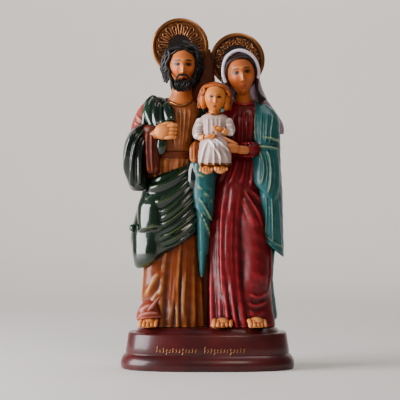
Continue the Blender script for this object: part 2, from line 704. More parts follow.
def foot(name, paint, toe, heading, width, height):
    forward = Vector((math.sin(math.radians(heading)), -math.cos(math.radians(heading)), 0))
    side = Vector((forward.y, -forward.x, 0))
    toe = Vector(toe)
    instep = (0.45 * width, 0.70 * width, 0.92 * height)
    ball(name + "_instep", paint, toe - forward * 0.66 * width, instep, (0, 0, heading), fine=24)
    for k in range(5):
        spread = (k - 2) / 2
        radius = width * TOE_WIDTHS[k]
        tip = toe + side * spread * 0.40 * width + forward * (0.16 - 0.14 * abs(spread - 0.4)) * width
        tip.z -= 0.15 * height
        knuckle = tip - forward * 0.26 * width + Vector((0, 0, 0.40 * height))
        root = tip - forward * 0.60 * width + Vector((0, 0, 0.55 * height))
        roll(
            f"{name}_toe_{k}",
            paint,
            [(*root, radius), (*knuckle, 0.95 * radius), (*tip, radius)],
            around=12,
        )


print("toe widths, as shares of the foot:", TOE_WIDTHS)

# %% [markdown]
# Haloes. Each is a turned dish: a smooth raised rim, one or two fine rings, and a stippled field. On the
# man's halo thin looped rays stand up from the field, and on the woman's a band of small scrolls does.
# Both are rolls laid along a short path, so that they carry the same rubbed gold as the rim.

# %% Haloes
HALO_RIM_THICKNESS = 2.8
HALO_FIELD_THICKNESS = 1.6
HALO_RIM_WIDTH = 2.3
ROUND_STEPS = 112


def turned(name, paint, centre, profile):
    """A turned form about the Y axis. profile is (radius, depth behind the front face)."""
    angle = np.linspace(0, 2 * math.pi, ROUND_STEPS, endpoint=False)
    rings = []
    for radius, depth in profile:
        x = centre[0] + radius * np.cos(angle)
        z = centre[2] + radius * np.sin(angle)
        rings.append(np.stack([x, np.full_like(x, centre[1] + depth), z], axis=1))
    return store_grid(name, np.array(rings), paint)


def ring_bead(name, paint, centre, radius, depth, size):
    """A fine raised ring, half round in section."""
    profile = []
    for k in range(9):
        angle = math.pi * k / 8
        profile.append((radius + size * math.cos(angle), depth - size * math.sin(angle)))
    profile += [(radius - size, depth + size), (radius + size, depth + size)]
    angle = np.linspace(0, 2 * math.pi, ROUND_STEPS, endpoint=False)
    around = len(profile)
    points = []
    for a in angle:
        for r, d in profile:
            points.append((centre[0] + r * math.cos(a), centre[1] + d, centre[2] + r * math.sin(a)))
    faces = []
    for s in range(len(angle)):
        low, high = s * around, ((s + 1) % len(angle)) * around
        faces += [
            [low + k, low + (k + 1) % around, high + (k + 1) % around, high + k] for k in range(around)
        ]
    return store(name, points, faces, paint)


def halo(name, centre, radius, rings=()):
    """The dish itself: a rounded rim, a stippled field set back from it, and fine rings."""
    rim, field, edge = HALO_RIM_THICKNESS, HALO_FIELD_THICKNESS, HALO_RIM_WIDTH
    profile = [(0.05, rim), (radius - 0.6, rim), (radius, rim - 0.6), (radius, 0.8), (radius - 0.2, 0.3)]
    profile += [(radius - 0.6, 0.0), (radius - edge + 0.7, 0.0), (radius - edge + 0.2, 0.3)]
    profile += [(radius - edge, rim - field), (radius - edge - 1, rim - field), (0.05, rim - field)]
    turned(name + "_dish", GOLD, centre, profile)
    disc = [(0.05, 2.2), (radius - edge - 0.1, 2.2), (radius - edge - 0.1, 1.12), (0.05, 1.05)]
    turned(name + "_field", GOLD_FIELD, centre, disc)
    for k, reach in enumerate(rings):
        ring_bead(f"{name}_ring_{k}", GOLD, centre, reach * radius, rim - field + 0.05, 0.36)


def looped_rays(name, centre, radius, rays):
    """Long loops that stand up from the field, wider towards the rim."""
    for k in range(rays):
        angle = math.radians(-34 + 248 * k / (rays - 1))
        out = Vector((math.cos(angle), 0, math.sin(angle)))
        side = Vector((-math.sin(angle), 0, math.cos(angle)))
        middle = Vector((centre[0], centre[1] + 1.1, centre[2]))
        outer = 0.80 if k % 2 else 0.74
        sides = ((0.44, 0.4), (0.60, 0.8), (outer - 0.06, 1.1))
        loop = sides + ((outer, 0.0),) + tuple((reach, -shift) for reach, shift in sides[::-1])
        path = [(*(middle + out * reach * radius + side * shift), 0.50) for reach, shift in loop]
        roll(f"{name}_ray_{k}", GOLD, path, around=8)


def filigree(name, centre, radius, count):
    """A band of small scrolls, each a tapering spiral, with a bead between each pair."""
    for k in range(count):
        angle = math.radians(-36 + 252 * k / (count - 1))
        out = Vector((math.cos(angle), 0, math.sin(angle)))
        side = Vector((-math.sin(angle), 0, math.cos(angle))) * (1 if k % 2 else -1)
        middle = Vector((centre[0], centre[1] + 1.1, centre[2])) + out * 0.655 * radius
        path = []
        for step in range(11):
            turn = 2 * math.pi * 1.4 * step / 10
            reach = 2.0 - 1.5 * step / 10
            place = middle + out * reach * math.cos(turn) + side * reach * math.sin(turn)
            path.append((*place, 0.58 - 0.018 * step))
        roll(f"{name}_scroll_{k}", GOLD, path, around=8)
        between = angle + math.radians(126 / (count - 1))
        bead = Vector(centre) + Vector((math.cos(between), 0, math.sin(between))) * 0.735 * radius
        bead.y += 1.1
        ball(f"{name}_bead_{k}", GOLD, bead, (0.75, 0.75, 0.75), fine=12)


print("halo rim:", HALO_RIM_WIDTH, "parts wide and", HALO_RIM_THICKNESS, "thick")

# %% [markdown]
# The man's tunic hangs to the ground in long folds, smoothed over the bent knee. It could be one surface
# with its folds sculpted in, but a loft with fold lines lets each fold be moved alone. Behind, the folds
# are fewer and flatter, because such a statue stands with its back to a wall.

# %% The man's tunic


def man_tunic():
    skirt = fan(
        [(-21, 56), (-25, 26), (-26, 0)], [(-5, 60), (-5, 26), (-3.6, 0)], 6, 2.3, 1.2, (0.3, 0.02)
    )
    skirt += fan(
        [(-17, 34), (-18, 20), (-21, 3)],
        [(-8, 38), (-9, 20), (-7.4, 2)],
        3,
        1.7,
        0.7,
        (0.4, 0.2),
        between=0,
    )
    knee = [(-28, 66), (-31, 34), (-33, 6)]
    skirt += fan(knee, knee, 1, 9.5, 4.4, (0.35, 0.2))
    slant = [(-25, 32), (-29, 25), (-32, 16)]
    skirt += fan(slant, [(-24, 23), (-28, 17), (-30, 11)], 2, 1.7, 0.9, between=0)
    skirt += fan(
        [(-34, 60), (-35, 30), (-36, 0)], [(-4, 60), (-4, 30), (-3, 0)], 4, 4.0, 1.3, (0.2, 0.02), BACK
    )
    tunic = [
        (-1, -19.3, 1.5, 17.8, 14.5),
        (16, -18.6, 1.5, 16.6, 13.5),
        (36, -18.8, 2, 15.2, 13),
        (56, -19, 2, 15, 13),
        (76, -21, 2, 15, 13),
    ]
    cloth("man_tunic", TUNIC, tunic, skirt)


man_tunic()

# %% [markdown]
# Above the hips the tunic is drawn in by a belt and ends in a gilt collar. The bodice is a loft of its
# own, because it is brushed paler than the skirt. The belt is a short ring that stands proud of it, and
# the collar is a thin roll.

# %% The man's bodice


def man_bodice():
    body = fan(
        [(-20.5, 127), (-19.5, 114), (-18, 101)], [(-10, 127), (-11, 114), (-13.5, 101)], 5, 1.1, 0.9
    )
    body += fan(
        [(-31, 96), (-31, 90), (-28, 80)], [(-10, 96), (-11, 92), (-13, 84)], 4, 2.0, 0.9, (0.3, 0.1)
    )
    bodice = [
        (72, -20.6, 2, 14.6, 12.6),
        (76, -21, 2, 15.1, 13.1),
        (91, -21, 2, 14, 12),
        (99, -20.5, 1.5, 13, 10.8),
        (114, -19.5, 1.5, 14.6, 11.5),
        (122, -18.4, 1.2, 15.4, 10.8),
        (127, -16.6, 0.6, 11.5, 8.6),
        (130, -15.4, 0.4, 8.2, 7.0),
    ]
    cloth("man_bodice", BODICE, bodice, body)
    belt = [(95.4, -20.5, 1.5, 13.0, 11.0), (96.2, -20.5, 1.5, 13.7, 11.6), (98.6, -20.5, 1.5, 13.7, 11.6)]
    cloth("man_belt", RUST, belt + [(99.4, -20.5, 1.5, 13.0, 11.0)], fineness=0.8)
    collar = [(-22.6, 0, 131.4, 0.7), (-20.8, -6.2, 129.2, 0.75), (-15.4, -8.9, 127.2, 0.75)]
    collar += [(-9.8, -7.0, 129.2, 0.75), (-8.0, 0, 131.4, 0.7)]
    roll("man_gilt_collar", GOLD, collar, around=8)


man_bodice()

# %% [markdown]
# Over the near foot the hem is bunched up in a few short folds with one raised point. A short wide strip
# across the foot carries them, and the point is a tapering roll, because a ring of the skirt can't fold
# back over itself.

# %% The man's gathered hem


def man_gathered_hem():
    bunch = fan(
        [(-39, 8), (-34, 13), (-28, 12)], [(-39.5, 3.5), (-33, 5.5), (-26, 3)], 3, 1.5, 0.8, between=0.3
    )
    gathered = [(-32.2, -6.6, 13, 3.8, 5.4), (-33.2, -10.8, 8, 6.4, 6.4), (-33, -12, 3.5, 7.6, 6.6)]
    band("man_gathered_hem", SLEEVE, gathered, bunch, around=110, spacing=0.45)
    spike = [(-36.5, -15.6, 6.5, 0.9), (-32.4, -16.6, 10.4, 1.1), (-27.2, -15.0, 17.0, 0.3)]
    roll("man_hem_point", SLEEVE, spike)


man_gathered_hem()

# %% [markdown]
# The green mantle is the darkest and glossiest cloth. Round the hips it could be a tube cut off at a
# slant, but then its folds would be level. So the wrap is a stack of tilted ovals: its edges run at a
# slant, and seven main folds sweep from the far hip to the near one. Two flat-topped swells on the near
# side catch the window as broad white patches.

# %% The man's hip wrap


def man_wrap():
    hip = fan(
        [(-34, 78), (-23, 78), (-6, 93)],
        [(-29, 69.5), (-20, 71), (-4, 90)],
        2,
        3.2,
        1.8,
        (0.15, 0.05),
        between=0,
    )
    hip += fan(
        [(-29, 63), (-19, 66), (-3, 87)],
        [(-26, 44), (-14, 46), (2, 65)],
        7,
        2.4,
        1.6,
        (0.35, 0.05),
        between=0.3,
        shape=CRISP,
    )
    upper_swell = [(-33, 77), (-34.5, 65), (-32, 54)]
    lower_swell = [(-35.5, 54), (-37, 44), (-34, 33)]
    hip += fan(upper_swell, upper_swell, 1, 7.0, 2.4, (0.45, 0.12), shape=FLAT)
    hip += fan(lower_swell, lower_swell, 1, 7.5, 3.0, (0.65, 0.12), shape=FLAT)
    hip += fan(
        [(-36, 92), (-38, 66), (-37, 40)], [(-4, 92), (-3, 66), (-4, 52)], 4, 3.8, 1.2, (0.2, 0.1), BACK
    )
    wrap = [
        (44.2, -21.4, 1.5, 17.4, 15.4, 0.58),
        (45.4, -21.8, 1.5, 19.6, 16.6, 0.58),
        (54, -22.2, 1.5, 20.6, 17, 0.57),
        (62, -22.6, 1.5, 21.3, 17, 0.55),
        (71, -22, 1.5, 19.9, 16.2, 0.50),
        (80, -21.2, 1.5, 17.2, 15.2, 0.42),
        (86, -20.8, 1.5, 15.8, 14.4, 0.36),
        (88, -20.6, 1.5, 14.4, 13, 0.34),
    ]
    cloth("man_wrap", GREEN, wrap, hip, fineness=2.0, waviness=0.4)
    ball("man_wrap_knot", DARK_GREEN, (-42.6, -5, 55.6), (1.9, 3.2, 2.3), fine=20)


man_wrap()

# %% [markdown]
# Behind, the mantle hangs from the shoulders as a cloak. It could be a thin sheet, but the real one is
# solid with the back, so it is a closed loft that the body is sunk in.

# %% The man's cloak


def man_cloak():
    cloak = [
        (40, -21, 5, 16, 12.6),
        (44, -21, 5, 17.6, 13.6),
        (70, -21, 5, 17.2, 13.6),
        (95, -19.5, 5, 16.2, 12.8),
        (115, -18, 5, 17, 12),
        (126, -18, 4.5, 16.2, 9.6),
        (132, -16.5, 4.5, 9, 6.4),
    ]
    folds = fan(
        [(-30, 128), (-36, 90), (-36, 40)], [(-6, 128), (-2, 90), (-4, 40)], 4, 3.8, 1.4, (0.3, 0.05), BACK
    )
    cloth("man_cloak", DARK_GREEN, cloak, folds)


man_cloak()

# %% [markdown]
# From the forearm the mantle hangs as a closed bag with crisp long ridges, which carry the thin white
# glints. A loft closes at the top over the forearm and at the bottom, as the real cloth does.

# %% The man's arm drape


def man_arm_drape():
    drape = [
        (76.6, -38.4, -3, 4.2, 7.5),
        (78.4, -38.6, -3, 5.6, 9.0),
        (84, -39.4, -3, 6.3, 10.5),
        (91, -40.5, -3, 7.0, 11.5),
        (97, -41.0, -3, 7.2, 12),
        (104, -40.3, -2.5, 7.1, 12),
        (110.5, -38.8, -2, 6.4, 10.5),
        (114.5, -37.2, -1, 5.0, 8.0),
        (116.8, -36.6, -1, 3.0, 5.0),
    ]
    arm = fan(
        [(-34, 116), (-47.5, 112), (-45.6, 79)],
        [(-32.5, 111), (-40, 106), (-38.4, 80)],
        3,
        2.3,
        2.2,
        (0.1, 0.05),
        between=0,
        shape=CRISP,
    )
    arm += fan(
        [(-42, 112), (-45, 98), (-43, 78)],
        [(-34, 112), (-36, 98), (-37, 78)],
        3,
        1.8,
        1.4,
        (0.2, 0.05),
        BACK,
    )
    cloth("man_arm_drape", DARK_GREEN, drape, arm, fineness=1.4, waviness=0.4)


man_arm_drape()

# %% [markdown]
# Over the shoulder and down to the fist the mantle is gathered in thick soft rolls. They overlap and turn
# as they go, so they are strips and rolls along paths, where rings round the body couldn't follow.

# %% The mantle at shoulder and fist


def man_shoulder_folds():
    shoulder = [
        (-29, 2, 132, 3.6, 3),
        (-33.2, -2, 127.6, 3.2, 3.2),
        (-35.4, -5, 119, 2.4, 2.6),
        (-35.4, -6, 112, 2, 2),
    ]
    band("man_shoulder_fold", DARK_GREEN, shoulder, around=56)
    strip = [
        (-27, 3, 131, 5.2, 3),
        (-27.6, -5.5, 127.5, 6.0, 2.2),
        (-26.4, -10.0, 121, 6.4, 2.0),
        (-24.8, -13.4, 113, 5, 2),
    ]
    near = [(-29.5, 130), (-30.5, 122), (-28, 113)]
    pleats = fan(near, [(-23, 128), (-22, 121), (-22.5, 115)], 3, 1.8, 0.7, between=0.3)
    band("man_chest_drape", DARK_GREEN, strip, pleats, (0.1, -1, 0.6), around=90)
    outer = [(-31.5, -0.2, 131.2, 2.2), (-33.8, -6.8, 124.4, 2.7), (-31.0, -12.4, 115.0, 2.0)]
    roll("man_gathered_fold", DARK_GREEN, outer, around=20)
    knot = [(-23.5, -7.0, 128.6, 2.4, 2.0), (-21.8, -10.8, 123, 3.4, 2.4), (-20.8, -13.4, 117.4, 3.2, 2.4)]
    band("man_fist_fold", DARK_GREEN, knot, around=44)
    tail = [(-26.0, -13.4, 108, 2.8, 2.4), (-26.0, -14.2, 102, 3.1, 2.2), (-26.4, -13.2, 97.0, 1.6, 1.4)]
    band("man_fist_tail", DARK_GREEN, tail)
    over = fan([(-6, 128), (-5, 110), (-6, 84)], [(-2.5, 128), (-2, 110), (-3, 84)], 2, 1.2, 1.0)
    far = [
        (-5, 3, 129, 4.4, 4),
        (-3.4, -2, 118, 4.4, 4),
        (-3.6, -5, 104, 5, 4.5),
        (-5.6, -10, 88, 6.4, 4.6),
        (-7.5, -10.6, 76, 5, 4),
    ]
    band("man_far_drape", DARK_GREEN, far, over, around=72)


man_shoulder_folds()

# %% [markdown]
# Sleeve and fist. The upper sleeve is rust with a pink brush; below the forearm a brown cuff hangs in
# narrow folds. The fist grips the mantle's edge: four fingers are bent over its front, with the thumb
# along the top. The open hand's recipe can't close that far, so the fist is a ball with four bent rolls.

# %% The man's arm and hand


def man_arm():
    sleeve = fan(
        [(-41, 122), (-38, 118), (-34, 117)], [(-43, 114), (-39, 112), (-34, 112)], 3, 1.3, 0.9, shape=CRISP
    )
    upper = [(-31, 2, 128, 5.4, 6), (-35.5, 1, 120, 6.2, 6.5), (-39, -1, 109, 6, 6)]
    band("man_upper_sleeve", SLEEVE, upper, sleeve, around=64)
    fore = [(-39, -2, 108, 5.5, 5.5), (-34, -9, 109.6, 5.0, 5), (-30, -13.0, 110.6, 3.7, 3.7)]
    band("man_forearm", RUST, fore, around=48)
    hanging = fan(
        [(-34, 112), (-34, 100), (-33, 88)],
        [(-29, 110), (-28.5, 100), (-29, 88)],
        3,
        1.2,
        1.1,
        (0.15, 0.05),
    )
    cuff = [
        (86.5, -30.6, -9, 3.2, 4.5),
        (88, -30.8, -9, 3.9, 5.5),
        (100, -31.6, -9, 4.6, 7),
        (113, -31.6, -9.5, 4.8, 6),
        (116, -31.6, -9.5, 3, 4),
    ]
    cloth("man_hanging_cuff", RUST, cuff, hanging, fineness=0.9)
    wrist = [(-32, -12.6, 108.6, 3.0, 3.0), (-28.6, -14.6, 110.0, 3.3, 3.1), (-25, -15.6, 111.2, 3.8, 3.1)]
    band("man_wrist", MAN_FLESH, wrist, around=40)
    ball("man_fist", MAN_FLESH, (-24.0, -15.9, 111.7), (6.2, 4.0, 5.2), (0, -12, 8), fine=36)
    for k in range(4):
        z = 115.3 - 2.35 * k
        x = -19.6 - 0.25 * k
        row = [(x - 2.8, -18.0, z - 0.4, 1.3), (x, -18.4, z, 1.45)]
        row += [(x + 1.6, -16.9, z, 1.35), (x + 1.4, -14.4, z, 1.1)]
        roll(f"man_fist_finger_{k}", MAN_FLESH, row, around=12)
    thumb = [(-27.6, -16.4, 114.2, 1.5), (-23.6, -17.4, 115.9, 1.45), (-20.0, -17.2, 116.3, 1.15)]
    roll("man_fist_thumb", MAN_FLESH, thumb, around=12)
    foot("man_foot", MAN_FLESH, (-33.5, -19.5, 2.0), -8, 10.5, 4.6)


man_arm()

# %% [markdown]
# The man's head. The hair falls in black waves from the parting to the neck, and the beard is short and
# full. It could be one displaced cap, but locks that overlap give the sharp dark gaps of carved hair. So
# wavy locks are laid over a cap, with more down both jaws, a row on the chin, and a moustache of two.

# %% The man's head
MAN_HALO = ((-15.6, 4.2, 159.6), 16.4)


def man_head():
    head = ((-14.3, -3.2, 149.7), 12.2, (0, 1.5, 2))
    neck = [
        (-15.4, -0.4, 126, 9.4, 7.6),
        (-15, -0.6, 130, 7.6, 6.8),
        (-14.6, -0.5, 135, 5.8, 6),
        (-14.4, -1, 142, 5.6, 6),
    ]
    band("man_neck", MAN_FLESH, neck, around=72)
    face("man_face", MAN_FLESH, *head, width=0.66)
    shell = ((0, 0.10, 0.14), (0.83, 0.92, 1.01))
    ball("man_hair_cap", BLACK_HAIR, head_point(*head, (0, 0.24, 0.28)), (9.4, 9.6, 11.6), fine=40)
    ball("man_hair_nape", BLACK_HAIR, head_point(*head, (0, 0.34, -0.75)), (6.8, 5.4, 8.6), fine=32)
    for side in (-1, 1):
        tag = "left" if side < 0 else "right"
        cheek = head_point(*head, (side * 0.68, 0.24, 0.02))
        ball(f"man_hair_{tag}", BLACK_HAIR, cheek, (2.8, 6.4, 9.2), (0, side * -4, 0))
        for k in range(11):
            near, low = min(k, 4), -0.42 - 0.08 * ((k * 2) % 5)
            turn = math.radians(47 + 10.8 * k)
            path = [
                on_shell(shell, (side * 0.02, -math.cos(turn), math.sin(turn))),
                on_shell(shell, (side * 0.56, -0.50 + 0.13 * k, 0.62)),
                on_shell(shell, (side * 0.78, -0.54 + 0.13 * k, 0.30)),
                (side * (0.68 + 0.055 * near), -0.42 + 0.13 * k, 0.0),
                (side * (0.66 + 0.045 * near), -0.36 + 0.125 * k, -0.28),
                (side * (0.56 + 0.045 * near), -0.28 + 0.12 * k, low),
            ]
            name = f"man_lock_{tag}_{k}"
            lock(name, BLACK_HAIR, head, path, 1.3, wave=0.075, turns=3.0, phase=1.9 * k)
        for k in range(7):
            start, low = -0.10 - 0.07 * k, -0.66 - 0.05 * k
            path = [(side * 0.60, -0.38 - 0.04 * k, start), (side * (0.55 - 0.05 * k), -0.64, low)]
            path.append((side * (0.34 - 0.045 * k), -0.76, -1.14))
            lock(f"man_beard_{tag}_{k}", BLACK_HAIR, head, path, 0.85, wave=0.02, phase=k)
        moustache = [(side * 0.02, -1.03, -0.46), (side * 0.20, -0.98, -0.49), (side * 0.36, -0.82, -0.76)]
        lock(f"man_moustache_{tag}", BLACK_HAIR, head, moustache, 0.70)
        fringe = [(side * 0.02, -0.54, 0.80), (side * 0.22, -0.58, 0.70), (side * 0.44, -0.50, 0.60)]
        fringe.append((side * 0.60, -0.40, 0.36))
        lock(f"man_fringe_{tag}", BLACK_HAIR, head, fringe, 1.0, wave=0.04)
    for k in range(9):
        x = -0.30 + 0.075 * k
        path = [(x, -0.80, -0.74), (x * 0.95, -0.88, -0.94), (x * 0.65, -0.74, -1.20)]
        lock(f"man_chin_{k}", BLACK_HAIR, head, path, 0.85, wave=0.02, phase=2 * k)
    ball("man_beard_core", BLACK_HAIR, head_point(*head, (0, -0.55, -0.88)), (4.6, 3.6, 3.6))
    halo("man_halo", *MAN_HALO)
    looped_rays("man_halo", *MAN_HALO, 15)


man_head()

# %% [markdown]
# The woman's dress is the plainest cloth: long folds fall from the waist to the ground, and the bent
# knee smooths them on one side, with short wrinkles below it. One loft from hem to neck is enough, since
# nothing crosses it, and the knee is a single wide fold line.

# %% The woman's dress


def woman_dress():
    far_side = [(4.5, 84), (3.2, 45), (3.6, 0)]
    folds = fan(far_side, [(19, 84), (11.5, 45), (20.5, 0)], 5, 2.5, 2.1, (0.25, 0.02))
    knee = [(22, 74), (31, 50), (27, 12)]
    folds += fan(knee, knee, 1, 9.0, 4.2, (0.35, 0.25))
    folds += fan([(22, 78), (31, 74), (33, 58)], [(17, 76), (24, 66), (25, 52)], 3, 1.8, 1.0, (0.3, 0.4))
    folds += fan([(22.5, 20), (28, 13), (33.5, 20)], [(22, 9), (27.5, 4), (33, 10)], 3, 1.8, 0.8, between=0)
    folds += fan(
        [(31.5, 66), (36, 46), (33.5, 16)], [(31.5, 66), (36, 46), (33.5, 16)], 1, 1.5, 1.2, shape=CRISP
    )
    folds += fan([(15, 124), (14.5, 112), (15.5, 98)], [(25, 124), (25, 112), (23, 98)], 5, 1.2, 0.9)
    folds += fan([(13, 96), (11, 88), (6, 80)], [(25, 96), (26, 88), (24, 78)], 4, 1.6, 1.0)
    dress = [
        (-1, 19.4, 0.5, 19.6, 15.5),
        (16, 18.6, 0.5, 18.2, 14.2),
        (36, 18.2, 1, 17.6, 13.2),
        (56, 17.6, 1, 17, 13),
        (76, 18, 1, 15.6, 12.5),
        (92, 19.5, 1, 13, 11),
        (100, 20, 1, 12, 10),
        (114, 20.6, 1, 13.4, 10.8),
        (122, 20.8, 1.5, 14.6, 9.8),
        (127, 20.8, 1.2, 9.4, 7.6),
        (129.5, 20.6, 1, 6.6, 6.4),
    ]
    cloth("woman_dress", DRESS, dress, folds)
    collar = [(26.6, -1, 130.4, 0.5), (24.4, -5.6, 128.6, 0.55), (20.6, -7.2, 128.0, 0.55)]
    collar += [(16.6, -5.4, 128.8, 0.55), (14.6, -1, 130.4, 0.5)]
    roll("woman_collar", DRESS, collar, around=8)
    foot("woman_foot_left", WOMAN_FLESH, (8.2, -20.6, 1.9), -4, 11.5, 3.8)
    foot("woman_foot_right", WOMAN_FLESH, (28.2, -20.8, 1.9), 6, 10.6, 4.2)


woman_dress()

# %% [markdown]
# Her forearm comes forward to hold the child, and the cuff is pushed up in tight wrinkles. Bump shading
# would not show in the outline, so the wrinkles are real ridges and three thin rings round the cuff.

# %% The woman's arm


def ring_roll(name, number, centre, radius):
    """One of the wrinkles pushed up round a cuff: a thin ring square to the forearm."""
    away = Vector((0.74, 0.67, 0.05)).normalized()
    up = Vector((0, 0, 1))
    side = away.cross(up).normalized()
    rows = []
    for k in range(9):
        turn = math.radians(-25 + 230 * k / 8)
        place = Vector(centre) + radius * (-side * math.sin(turn) + up * math.cos(turn))
        rows.append((*place, 0.5))
    roll(f"{name}_{number}", DRESS, rows, around=12)


def woman_arm():
    wrinkles = fan(
        [(24, 107), (23, 103), (24.5, 97)], [(18.4, 105), (17.2, 101), (18.6, 96)], 4, 1.0, 0.9, shape=CRISP
    )
    sleeve = [(32, -5, 101, 5.0, 5.6), (27, -10, 100.6, 4.8, 5.0), (21.6, -15.6, 100.2, 4.1, 4.1)]
    band("woman_cuff", DRESS, sleeve, wrinkles, around=84, spacing=0.5)
    for k, x in enumerate((20.4, 22.2, 24.2)):
        ring_roll("woman_cuff_ring", k, (x, -16.9 + 1.0 * k, 100.2 + 0.1 * k), 3.9 + 0.25 * k)
    wrist = [(23, -15.4, 100, 2.8, 2.6), (18.5, -17.9, 100.3, 2.6, 2.4), (13.5, -19.5, 101.4, 2.3, 1.6)]
    band("woman_wrist", WOMAN_FLESH, wrist, around=32)
    hand(
        "woman_hand",
        WOMAN_FLESH,
        (18.6, -18.4, 100.2),
        (-1, -0.34, 0.22),
        (-0.30, -1, 0.25),
        16.0,
        0.3,
        -1,
        slim=0.74,
    )


woman_arm()

# %% [markdown]
# Between the figures a far sleeve and hand carry the child, and deep down the casting is closed by dark
# folds. A gap there would be hard to pull from a mould, so the real one is filled and painted umber.

# %% The far arm and the shadow between


def far_arm():
    sleeve = fan(
        [(-9.5, 105), (-10, 98), (-9.5, 92)], [(-5, 105), (-5, 98), (-5, 92)], 3, 0.9, 0.9, (0.1, 0.05)
    )
    rows = [(-6.2, -10.5, 105, 2.0, 3.0), (-7.0, -12.5, 101, 2.8, 4.0), (-7.0, -12.0, 92.5, 2.8, 4.2)]
    band("far_sleeve", UNDER, rows, sleeve, around=56, spacing=0.5)
    hand("far_hand", UNDER, (-6.6, -13.4, 95.5), (0.25, -0.6, 1.0), (-0.9, -0.8, 0.1), 7.0, 0.6, -1)
    dark = [(-1, -0.8, 3, 4.6, 6), (30, -0.8, 3, 4.6, 6), (58, -1, 3, 4.6, 6), (62, -1, 3, 3, 4)]
    cloth("shadow_folds", UMBER, dark, fineness=0.6)


far_arm()

# %% [markdown]
# The woman's mantle hangs in layers: the long cloak behind, and at her side a lower layer with a raised
# border line. One sheet folded over itself would be truer to cloth, but a closed loft for each layer is
# what the mould shows, and each layer's edge casts its own shadow on the next.

# %% The woman's mantle


def woman_mantle():
    far_edge = [(4, 120), (0, 70), (1, 6)]
    back = fan(far_edge, [(36, 120), (39, 70), (37, 6)], 5, 3.6, 1.3, (0.3, 0.02), BACK)
    cloak = [
        (3, 20.5, 6.5, 19.0, 11.5),
        (6, 20.5, 6.5, 19.6, 12),
        (22, 20.0, 6, 18.0, 12.4),
        (32, 20.0, 6, 18.0, 12.4),
        (60, 20.6, 6, 19.6, 12.6),
        (90, 20.6, 6, 18.6, 12),
        (112, 21.2, 5, 18.6, 11),
        (124, 21.6, 4, 17.4, 9.6),
        (129, 20.8, 3, 12, 7.4),
    ]
    cloth("woman_cloak", TEAL, cloak, back)
    lower = [
        (44.2, 36.6, 1, 6.2, 10.5, -0.80),
        (46, 36.6, 1, 7.0, 11.5, -0.80),
        (60, 36.0, 0.5, 7.4, 12.5, -0.70),
        (80, 35.0, 0, 7.8, 12.5, -0.50),
        (104, 33.5, 0, 7.4, 11, 0.0),
    ]
    lines = fan(
        [(33, 78), (34, 62), (33, 52)], [(39, 76), (40, 60), (41, 44)], 3, 1.3, 1.0, (0.2, 0.1), shape=CRISP
    )
    lines += fan(
        [(31.0, 53.2), (35, 49), (42.5, 44.5)],
        [(31.0, 53.2), (35, 49), (42.5, 44.5)],
        1,
        0.8,
        0.7,
        (0.1, 0.1),
    )
    lines += fan(
        [(31, 50.4), (35, 46), (42.5, 41.4)], [(31, 50.4), (35, 46), (42.5, 41.4)], 1, 0.8, 0.6, (0.1, 0.1)
    )
    cloth("woman_lower_layer", TEAL, lower, lines, fineness=1.3)


woman_mantle()

# %% [markdown]
# Over the arm the mantle hangs as a wide sleeve with a slanting edge and a pinched fold at the elbow. Its
# rings tilt more and more downwards, which turns a level hem into the long slant of the real one.

# %% The woman's sleeve drape


def woman_sleeve_drape():
    sleeve = [
        (73.8, 33.0, -1.5, 8.4, 11.5, -1.08),
        (76, 33.0, -1.5, 9.2, 12.6, -1.05),
        (88, 33.0, -2, 9.0, 12.8, -0.75),
        (100, 33.0, -2, 8.6, 12.2, -0.3),
        (112, 32.8, -1.5, 8.6, 11, 0.0),
        (121.2, 32.0, 0, 8.4, 9.2, 0.0),
        (127, 29.8, 1.5, 6.0, 6.6, 0.0),
        (129, 28.6, 2, 3.3, 4, 0.0),
    ]
    lines = fan(
        [(29, 100), (34, 90), (30, 80)],
        [(38, 101), (41, 84), (38, 70)],
        3,
        1.3,
        1.1,
        (0.15, 0.15),
        shape=CRISP,
    )
    lines += fan(
        [(27.5, 125), (27, 112), (28, 104)], [(37, 123), (36, 113), (35, 104)], 4, 1.1, 0.9, shape=CRISP
    )
    lines += fan(
        [(27, 102), (33, 103.5), (41, 100)], [(31, 108), (36, 108), (41, 105)], 2, 1.4, 1.2, shape=CRISP
    )
    cloth("woman_sleeve_drape", TEAL, sleeve, lines, fineness=1.3)


woman_sleeve_drape()

# %% [markdown]
# Between the figures the mantle falls in three points, one below the other. Each is a narrow loft with a
# slanting hem, sunk a little in the one above, so that the edges overlap like the layers of a cascade.

# %% The mantle between the figures


def woman_falls():
    fall = fan([(-7, 88), (-2, 83), (4, 82)], [(-5, 66), (0, 60), (2, 46)], 4, 1.2, 0.9, shape=CRISP)
    points = (
        [
            (64.5, -2.8, -8.5, 5.4, 6, -0.75),
            (66, -2.8, -8.5, 6, 6.6, -0.75),
            (88, -2.5, -9, 7.2, 7.2, -0.3),
        ],
        [(43, -2.6, -7.5, 2.6, 5, -0.8), (45, -2.6, -7.5, 3.2, 5.6, -0.8), (70, -2.6, -8, 5, 6.4, -0.4)],
        [(28, -3.2, -7, 0.8, 3), (34, -3.0, -7.2, 1.8, 4.4), (50, -2.8, -7.5, 3.2, 5.4)],
    )
    tops = ((96, -2, -9, 6, 6), (80, -2.6, -8, 5, 6.4), (66, -2.6, -8, 4, 6))
    for k, (rows, top) in enumerate(zip(points, tops)):
        cloth(f"woman_fall_{k}", TEAL, rows + [top], fall, fineness=0.8)


woman_falls()

# %% [markdown]
# The woman's head tilts towards the child, and dark hair frames the face in smooth strands. The head is
# made upright and then turned as a whole, so that the painted features turn with it.

# %% The woman's head
WOMAN_HEAD = ((18.8, -4.2, 145.2), 12.1, (0, -8, 3))


